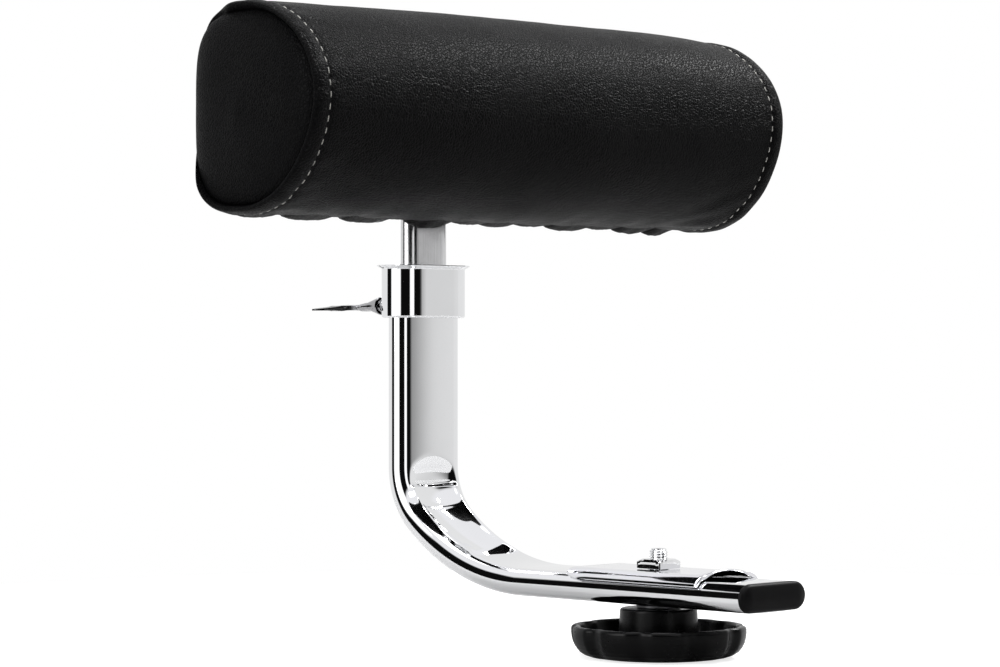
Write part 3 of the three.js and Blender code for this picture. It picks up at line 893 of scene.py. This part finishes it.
def pad_rows():
    """Rows of the whole padded form from one end panel's middle to the other's, as (x, outline, kind)."""
    ends = []
    for k in range(1, 11):
        t = k / 10
        edge = pad_outline(7.0, -5.0)
        ring = [(PAD_Y + 3 + (y - PAD_Y - 3) * t, PAD_Z - 2 + (z - PAD_Z + 2) * t) for y, z in edge]
        ends.append((182.4 + 4.2 * (1 - t ** 5) + 0.5 * (1 - t), ring, "panel"))
    ends.append((180.4, pad_outline(5.8, -4.0), "seam"))
    for x, inset, rear in ((183.4, 5.0, -3.2), (185.5, 3.7, -2.0), (186.0, 2.4, -0.8), (185.0, 1.4, 0.2),
                           (182.6, 0.8, 0.5), (179.6, 0.4, 0.3), (177.0, 0.7, 0.2), (STITCH_X, 1.9, 0.1),
                           (173.6, 1.1, 0.0)):
        ends.append((x, pad_outline(inset, rear), "body"))
    rows = [(-x, ring, kind) for x, ring, kind in ends]
    x = -170.0
    while x <= 170.01:
        rows.append((x, pad_outline(1.0), "body"))
        x += 340.0 / 64
    rows += [(x, ring, kind) for x, ring, kind in reversed(ends)]
    return rows


plan = pad_rows()
pad = Shape()
pad.rings([[(x, y, z) for y, z in ring] for x, ring, kind in plan], capped=True)
form = build("pad_form", pad, "pad_carrier", LEATHER, 180, ride=False)


def puff(obj, held, cap, frames=20, pressure=4.0):
    """Blows the closed cover up with Blender's Cloth, and lets no point move further than cap."""
    rest = [v.co.copy() for v in obj.data.vertices]
    group = obj.vertex_groups.new(name="held")
    for index, weight in held.items():
        group.add([index], weight, "REPLACE")
    cloth = obj.modifiers.new("Cloth", "CLOTH")
    settings = cloth.settings
    settings.quality = 6
    settings.mass = 0.3
    settings.tension_stiffness = 30
    settings.compression_stiffness = 12
    settings.bending_stiffness = 2.5
    settings.use_pressure = True
    settings.uniform_pressure_force = pressure
    settings.effector_weights.gravity = 0.0
    settings.vertex_group_mass = "held"
    cloth.collision_settings.use_self_collision = False
    scene = bpy.context.scene
    cloth.point_cache.frame_start = 1
    cloth.point_cache.frame_end = frames
    for f in range(1, frames + 1):
        scene.frame_set(f)
    graph = bpy.context.evaluated_depsgraph_get()
    made = obj.evaluated_get(graph).data
    moved = [v.co.copy() for v in made.vertices]
    obj.modifiers.remove(cloth)
    obj.vertex_groups.remove(group)
    for v, a, b in zip(obj.data.vertices, rest, moved):
        step = b - a
        if step.length > cap:
            step *= cap / step.length
        v.co = a + step
    scene.frame_set(1)


held = {}
for row, (x, ring, kind) in enumerate(plan):
    for i in range(AROUND):
        a = 2 * pi * i / AROUND
        stitched = abs(abs(x) - STITCH_X) < 0.1 or kind in ("seam", "panel")
        flat_back = ring[i][0] > PAD_BACK - 4.0 and kind == "body"
        if stitched or flat_back:
            held[row * AROUND + i] = 1.0
        elif abs(x) > STITCH_X:
            held[row * AROUND + i] = 0.6
puff(form, held, 0.0022)


def fold(x, seed):
    """Soft irregular waves along the pad, the same every run."""
    return (noise.noise(Vector((x * 0.032, seed, 0.0))) + 0.5 * noise.noise(Vector((x * 0.085, seed, 3.0))))


# folds where the cover is drawn under the pad, and a slow unevenness all over
body_mesh = form.data
for index, v in enumerate(body_mesh.vertices):
    row, i = divmod(index, AROUND)
    x, ring, kind = plan[row]
    a = 360.0 * i / AROUND                      # 0 rear, 90 top, 180 front, 270 under
    co = v.co / MM
    back, up = cos(radians(a)), sin(radians(a))
    out = Vector((0, back, up))
    push = 0.7 * noise.noise(co * 0.016) + 0.25 * noise.noise(co * 0.05)
    crown = 1 - min(1.0, abs(co.x) / 176) ** 2
    push += (1.9 * crown + 0.9 * co.x / 176 + 0.6) * max(0.0, up)
    push += 1.6 * exp(-((co.x - 118) / 40.0) ** 2) * max(0.0, up)
    low = max(0.0, -up)
    push -= 0.9 * low
    if kind == "body" and abs(x) > STITCH_X + 1:
        behind = ease((back - (0.25 if a < 180 else 0.72)) / 0.3)
        co.x -= copysign(0.6 * (abs(x) - STITCH_X) * behind, co.x)
    if kind == "body":
        under = exp(-((a - 288) / 26.0) ** 2)
        pleats = sin(co.x * 0.21 + 2.2 * fold(co.x, 1.0)) * (0.55 + 0.6 * abs(fold(co.x, 4.0)))
        push += 1.1 * under * pleats
        near_end = exp(-((abs(co.x) - 160) / 22.0) ** 2)
        drag = exp(-((a - 245) / 30.0) ** 2) * near_end
        push += 0.55 * drag * sin((abs(co.x) * 0.55 + a * 0.9) * 0.32)
        gather = exp(-((abs(co.x) - 169) / 6.5) ** 2) + 0.7 * exp(-((abs(co.x) - 180) / 3.5) ** 2)
        push += 0.34 * gather * sin(a * 0.42 + 3.0 * noise.noise(Vector((a * 0.03, co.x * 0.01, 5.0))))
    else:
        push *= 0.4
        if kind == "panel":
            co.x += copysign(0.5 * noise.noise(Vector((co.y * 0.03, co.z * 0.03, 9.0))), co.x)
    sag = ease((abs(co.x) - 150) / 26.0) * low ** 1.5
    co.z -= 1.9 * sag
    co.x += copysign(1.3 * sag * ease((abs(co.x) - 176) / 6.0), co.x)
    v.co = (co + out * push) * MM


def cut_rows(name, first, last, stands_for):
    """A padded piece of the form: rows first to last."""
    keep = Shape()
    count = AROUND
    kept = range(first * count, (last + 1) * count)
    keep.verts = [tuple(body_mesh.vertices[k].co / MM) for k in kept]
    for r in range(last - first):
        for i in range(count):
            j = (i + 1) % count
            keep.faces.append((r * count + i, r * count + j, (r + 1) * count + j, (r + 1) * count + i))
    if first == 0:
        keep.faces.append(tuple(reversed(range(count))))
    if last == len(plan) - 1:
        keep.faces.append(tuple((last - first) * count + i for i in range(count)))
    obj = build(name, keep, "pad_carrier", LEATHER, 180, stands_for=stands_for)
    sub = obj.modifiers.new("Smooth", "SUBSURF")
    sub.levels = 1
    sub.render_levels = 1
    return obj


seams = [r for r, (x, ring, kind) in enumerate(plan) if kind == "seam"]
right_panel = cut_rows("end_panel_sewn_right", 0, seams[0], "end_panel_right")
cover = cut_rows("cover_sewn", seams[0], seams[1], "cover_body")
left_panel = cut_rows("end_panel_sewn_left", seams[1], len(plan) - 1, "end_panel_left")

foam = Shape()
stations = ((-179.5, 14.0), (-178.5, 10.5), (-175.0, 8.0), (-120, 5.0), (-60, 5.0), (0, 5.0), (60, 5.0),
            (120, 5.0), (175.0, 8.0), (178.5, 10.5), (179.5, 14.0))
foam.rings([[(x, min(y, 153.4), z) for y, z in pad_outline(inset)] for x, inset in stations], capped=True)
foam_obj = build("foam_block", foam, "pad_carrier", FOAM, 60, stands_for="foam_core")


def stitch_line(name, row):
    """Topstitching: separate twisted stitches sunk at both ends, along one row of the cover."""
    path = [body_mesh.vertices[row * AROUND + i].co / MM for i in range(AROUND)]
    x = path[0].x
    middle = Vector((x, PAD_Y, PAD_Z))
    lengths = [0.0]
    for a, b in zip(path, path[1:] + path[:1]):
        lengths.append(lengths[-1] + (b - a).length)
    total = lengths[-1]
    shape = Shape()

    def at(s):
        s %= total
        k = 0
        while lengths[k + 1] < s:
            k += 1
        t = (s - lengths[k]) / (lengths[k + 1] - lengths[k])
        return path[k].lerp(path[(k + 1) % AROUND], t)

    count = round(total / 6.2)
    pitch = total / count
    for k in range(count):
        s0 = k * pitch
        rows = []
        for j in range(13):
            t = j / 12
            s = s0 + 4.2 * t
            p, q = at(s - 0.2), at(s + 0.2)
            along = (q - p).normalized()
            centre = at(s)
            out = (centre - middle)
            out.x = 0
            out -= along * out.dot(along)
            out.normalize()
            side = along.cross(out)
            sink = -0.75 * (abs(2 * t - 1) ** 3.5)
            centre = centre + out * (0.30 + sink)
            lean = 0.22 * (t - 0.5)
            r = 0.40 * (1 - 0.35 * abs(2 * t - 1) ** 2)
            row = []
            for m in range(10):
                b = 2 * pi * m / 10 + 2.6 * t
                bulge = 1 + 0.16 * cos(2 * (b - 2.6 * t))
                p = centre + out * (r * bulge * sin(b)) + side * (r * bulge * cos(b) + lean)
                row.append(tuple(p))
            rows.append(row)
        shape.rings(rows, capped=True)
    build(name, shape, "pad_carrier", THREAD, 60)


stitch_rows = [r for r, (x, ring, kind) in enumerate(plan) if abs(abs(x) - STITCH_X) < 0.1]
stitch_line("topstitch_right", stitch_rows[0])
stitch_line("topstitch_left", stitch_rows[1])

# the cover's lower hem: drawn back under the pad and stapled, so that it hangs in scallops
# between the staples, as (middle, half width, drop)
scallops = ((-158, 14, 1.0), (-121, 17, 1.4), (-79, 17, 1.6), (-30, 15, 3.4), (2, 12, 0.7), (24, 13, 1.3),
            (52, 13, 0.6), (83, 16, 1.9), (112, 12, 0.7), (138, 14, 2.2), (160, 9, 3.0), (171, 5, 2.6))


def hang(x):
    """How far the hem hangs at x."""
    drop = 0.0
    for at, wide, deep in scallops:
        u = abs(x - at) / wide
        if u < 1:
            lean = 1 + 0.25 * noise.noise(Vector((x * 0.16, at, 0.0)))
            drop = max(drop, deep * lean * (1 - u ** 2.4))
    return drop + 0.15 * noise.noise(Vector((x * 0.5, 3.0, 8.0)))


hem = Shape()
rows = []
steps = 680
for k in range(steps + 1):
    x = -170 + 340 * k / steps
    w = fold(x * 1.6, 11.0)
    drop = hang(x) * min(1.0, (170 - abs(x)) / 4.0)
    pinch = 1 - min(1.0, drop / 0.9)
    row = []
    for y, z, gain in ((120, 192.6, 0.0), (130, 192.0, 0.10), (138, 191.4, 0.35), (143, 190.6, 0.7),
                       (147, 190.0, 0.95), (150, 189.8, 1.0), (152.4, 190.3, 0.9), (154, 191.6, 0.6),
                       (157, 194.6, 0.2), (161, 200.0, 0.1), (165, 208.0, 0.0)):
        row.append((x, y + (0.9 * w - 1.6 * pinch) * gain, z + 0.9 * pinch * gain - drop * gain))
    rows.append(row)
hem.strip(rows)
hem_obj = build("cover_hem_gathers", hem, "pad_carrier", SHADED_HEM, 180)
thicken(hem_obj, 1.1)

# -------- dust cover and staples

dust = Shape()
rows = []
nx, nz = 120, 24
for r in range(nz + 1):
    z = 218 + 59 * r / nz
    row = []
    for k in range(nx + 1):
        x = -172 + 344 * k / nx
        inner = min(1.0, (172 - abs(x)) / 8.0, (29.5 - abs(z - 247.5)) / 6.0)
        sag = 0.35 * noise.noise(Vector((x * 0.03, z * 0.05, 2.0))) * max(0.0, inner)
        row.append((x, 168.9 + sag, z))
    rows.append(row)
dust.strip(rows)
dust_obj = build("dust_cover_cloth", dust, "pad_carrier", LINING, 60)
thicken(dust_obj, 0.6)
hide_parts("dust_cover")

staples = Shape()


def staple(x, z, angle):
    c, s = cos(angle), sin(angle)
    rows = []
    for u, lift in ((-5.0, -0.8), (-4.9, 0.1), (-4.4, 0.45), (0, 0.5), (4.4, 0.45), (4.9, 0.1), (5.0, -0.8)):
        rows.append([(x + u * c - w * s, 169.25 + lift + t, z + u * s + w * c) for w, t in
                     ((-0.45, -0.25), (0.45, -0.25), (0.45, 0.25), (-0.45, 0.25))])
    staples.rings(rows, capped=True)


for k in range(12):
    x = -162 + 29.5 * k
    if abs(x) > 48:
        staple(x + random.uniform(-2, 2), 221.5 + random.uniform(-0.6, 0.6), random.uniform(-0.08, 0.08))
        staple(x + random.uniform(-2, 2), 273.5 + random.uniform(-0.6, 0.6), random.uniform(-0.08, 0.08))
for z in (234, 248, 262):
    for side in (-1, 1):
        staple(side * 168.5, z + random.uniform(-1, 1), pi / 2 + random.uniform(-0.1, 0.1))
build("dust_cover_staples", staples, "pad_carrier", SATIN, 30)

bpy.data.objects.remove(form)

# -------- hidden CAD nodes keep their shape

for name, mat in (("back_board", PLY), ("tee_nut_1", SATIN), ("tee_nut_2", SATIN), ("tee_nut_3", SATIN),
                  ("tee_nut_4", SATIN)):
    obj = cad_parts[name]
    obj.data.materials.clear()
    obj.data.materials.append(mat)


# -------- studio

def world_light():
    """A pale studio, with the dark gaps between its white panels that polished metal shows."""
    world = bpy.data.worlds.new("studio")
    bpy.context.scene.world = world
    world.use_nodes = True
    tree = world.node_tree
    tree.nodes.clear()
    place = tree.nodes.new("ShaderNodeTexCoord")
    split = tree.nodes.new("ShaderNodeSeparateXYZ")
    wire(tree, place.outputs["Generated"], split.inputs["Vector"])
    turn = node(tree, "ShaderNodeMath", operation="ARCTAN2")
    wire(tree, split.outputs["Y"], turn.inputs[0])
    wire(tree, split.outputs["X"], turn.inputs[1])
    compass = node(tree, "ShaderNodeMapRange", in_1=-pi, in_2=pi, in_3=0.0, in_4=1.0)
    wire(tree, turn.outputs[0], compass.inputs["Value"])

    white, dark, soft = 1.25, 0.004, 1.5
    sky = [(-180, white), (-157 - soft, white), (-157 + soft, dark), (-112 - soft, dark),
           (-112 + soft, white), (-92 - soft, white), (-92 + soft, dark), (-60, dark), (-55, 0.10),
           (-51, 0.34), (-48, 0.62), (-46, 0.76), (-38, 0.86), (60, 0.88), (127, 0.9), (130, dark),
           (153, dark), (156, white), (180, white)]
    stops = [((azimuth + 180.0) / 360.0, (level,) * 3) for azimuth, level in sky]
    bands = ramp(tree, compass.outputs["Result"], stops)
    lift = [(height, (level,) * 3) for height, level in ((0.0, 0.0), (0.52, 0.0), (0.60, 1.0), (1.0, 1.0))]
    high = ramp(tree, split.outputs["Z"], lift)
    above = node(tree, "ShaderNodeMixRGB")
    above.inputs["Color2"].default_value = (0.94, 0.94, 0.96, 1)
    wire(tree, high, above.inputs["Fac"])
    wire(tree, bands, above.inputs["Color1"])
    seen = tree.nodes.new("ShaderNodeLightPath")
    final = node(tree, "ShaderNodeMixRGB")
    final.inputs["Color2"].default_value = (1.0, 1.0, 1.0, 1)
    wire(tree, seen.outputs["Is Camera Ray"], final.inputs["Fac"])
    wire(tree, above.outputs["Color"], final.inputs["Color1"])
    back = node(tree, "ShaderNodeBackground", in_Strength=1.0)
    wire(tree, final.outputs["Color"], back.inputs["Color"])
    out = tree.nodes.new("ShaderNodeOutputWorld")
    wire(tree, back.outputs["Background"], out.inputs["Surface"])


world_light()


def area(name, where, target, size, power):
    light = bpy.data.lights.new(name, "AREA")
    light.shape = "RECTANGLE"
    light.size, light.size_y = size
    light.energy = power
    obj = bpy.data.objects.new(name, light)
    bpy.context.scene.collection.objects.link(obj)
    obj.location = where
    obj.rotation_mode = "QUATERNION"
    obj.rotation_quaternion = (Vector(target) - Vector(where)).to_track_quat("-Z", "Y")


area("top_softbox", (-0.15, 0.25, 1.7), (0, 0.1, 0.2), (1.6, 1.2), 16.0)
area("front_strip", (-0.1, -1.5, 1.75), (0, 0.1, 0.3), (1.5, 0.35), 10.0)
area("right_band", (1.36, -0.12, 1.46), (0.08, 0.08, 0.28), (0.9, 0.34), 27.0)
area("left_panel", (-1.5, 0.35, 0.7), (0, 0.1, 0.2), (0.6, 1.2), 13.0)

floor_mat, floor_tree, floor_shader = material("studio_floor")
paper = texture(floor_tree, coords(floor_tree), "Noise", in_Scale=3.0, in_Detail=2.0)
paint(floor_tree, floor_shader, paper.outputs["Fac"], [(0.3, (0.45,) * 3), (0.7, (0.47,) * 3)])
floor_shader.inputs["Roughness"].default_value = 0.9
floor_shader.inputs["Emission Color"].default_value = (1, 1, 1, 1)
seen = floor_tree.nodes.new("ShaderNodeLightPath")
glow = node(floor_tree, "ShaderNodeMath", operation="MULTIPLY")
glow.inputs[1].default_value = 0.75
wire(floor_tree, seen.outputs["Is Camera Ray"], glow.inputs[0])
wire(floor_tree, glow.outputs[0], floor_shader.inputs["Emission Strength"])
floor = Shape()
floor.rings([[(r * cos(t), 40 + r * sin(t), -47.4) for t in turns(64)]
             for r in (620, 400, 200, 60)], end=True)
floor_obj = build("studio_floor", floor, "", floor_mat, ride=False)

camera = bpy.data.cameras.new("camera")
camera.lens = 112.0
camera.sensor_width = 36.0
camera.shift_y = 0.0115
camera.clip_end = 60
cam = bpy.data.objects.new("camera", camera)
bpy.context.scene.collection.objects.link(cam)
cam.location = (-1.2415, -1.1211, 0.1201)
cam.rotation_mode = "QUATERNION"
cam.rotation_quaternion = Vector((1, 1, 0)).to_track_quat("-Z", "Y")
bpy.context.scene.camera = cam
bpy.context.scene.view_settings.view_transform = "Standard"

bpy.context.view_layer.update()
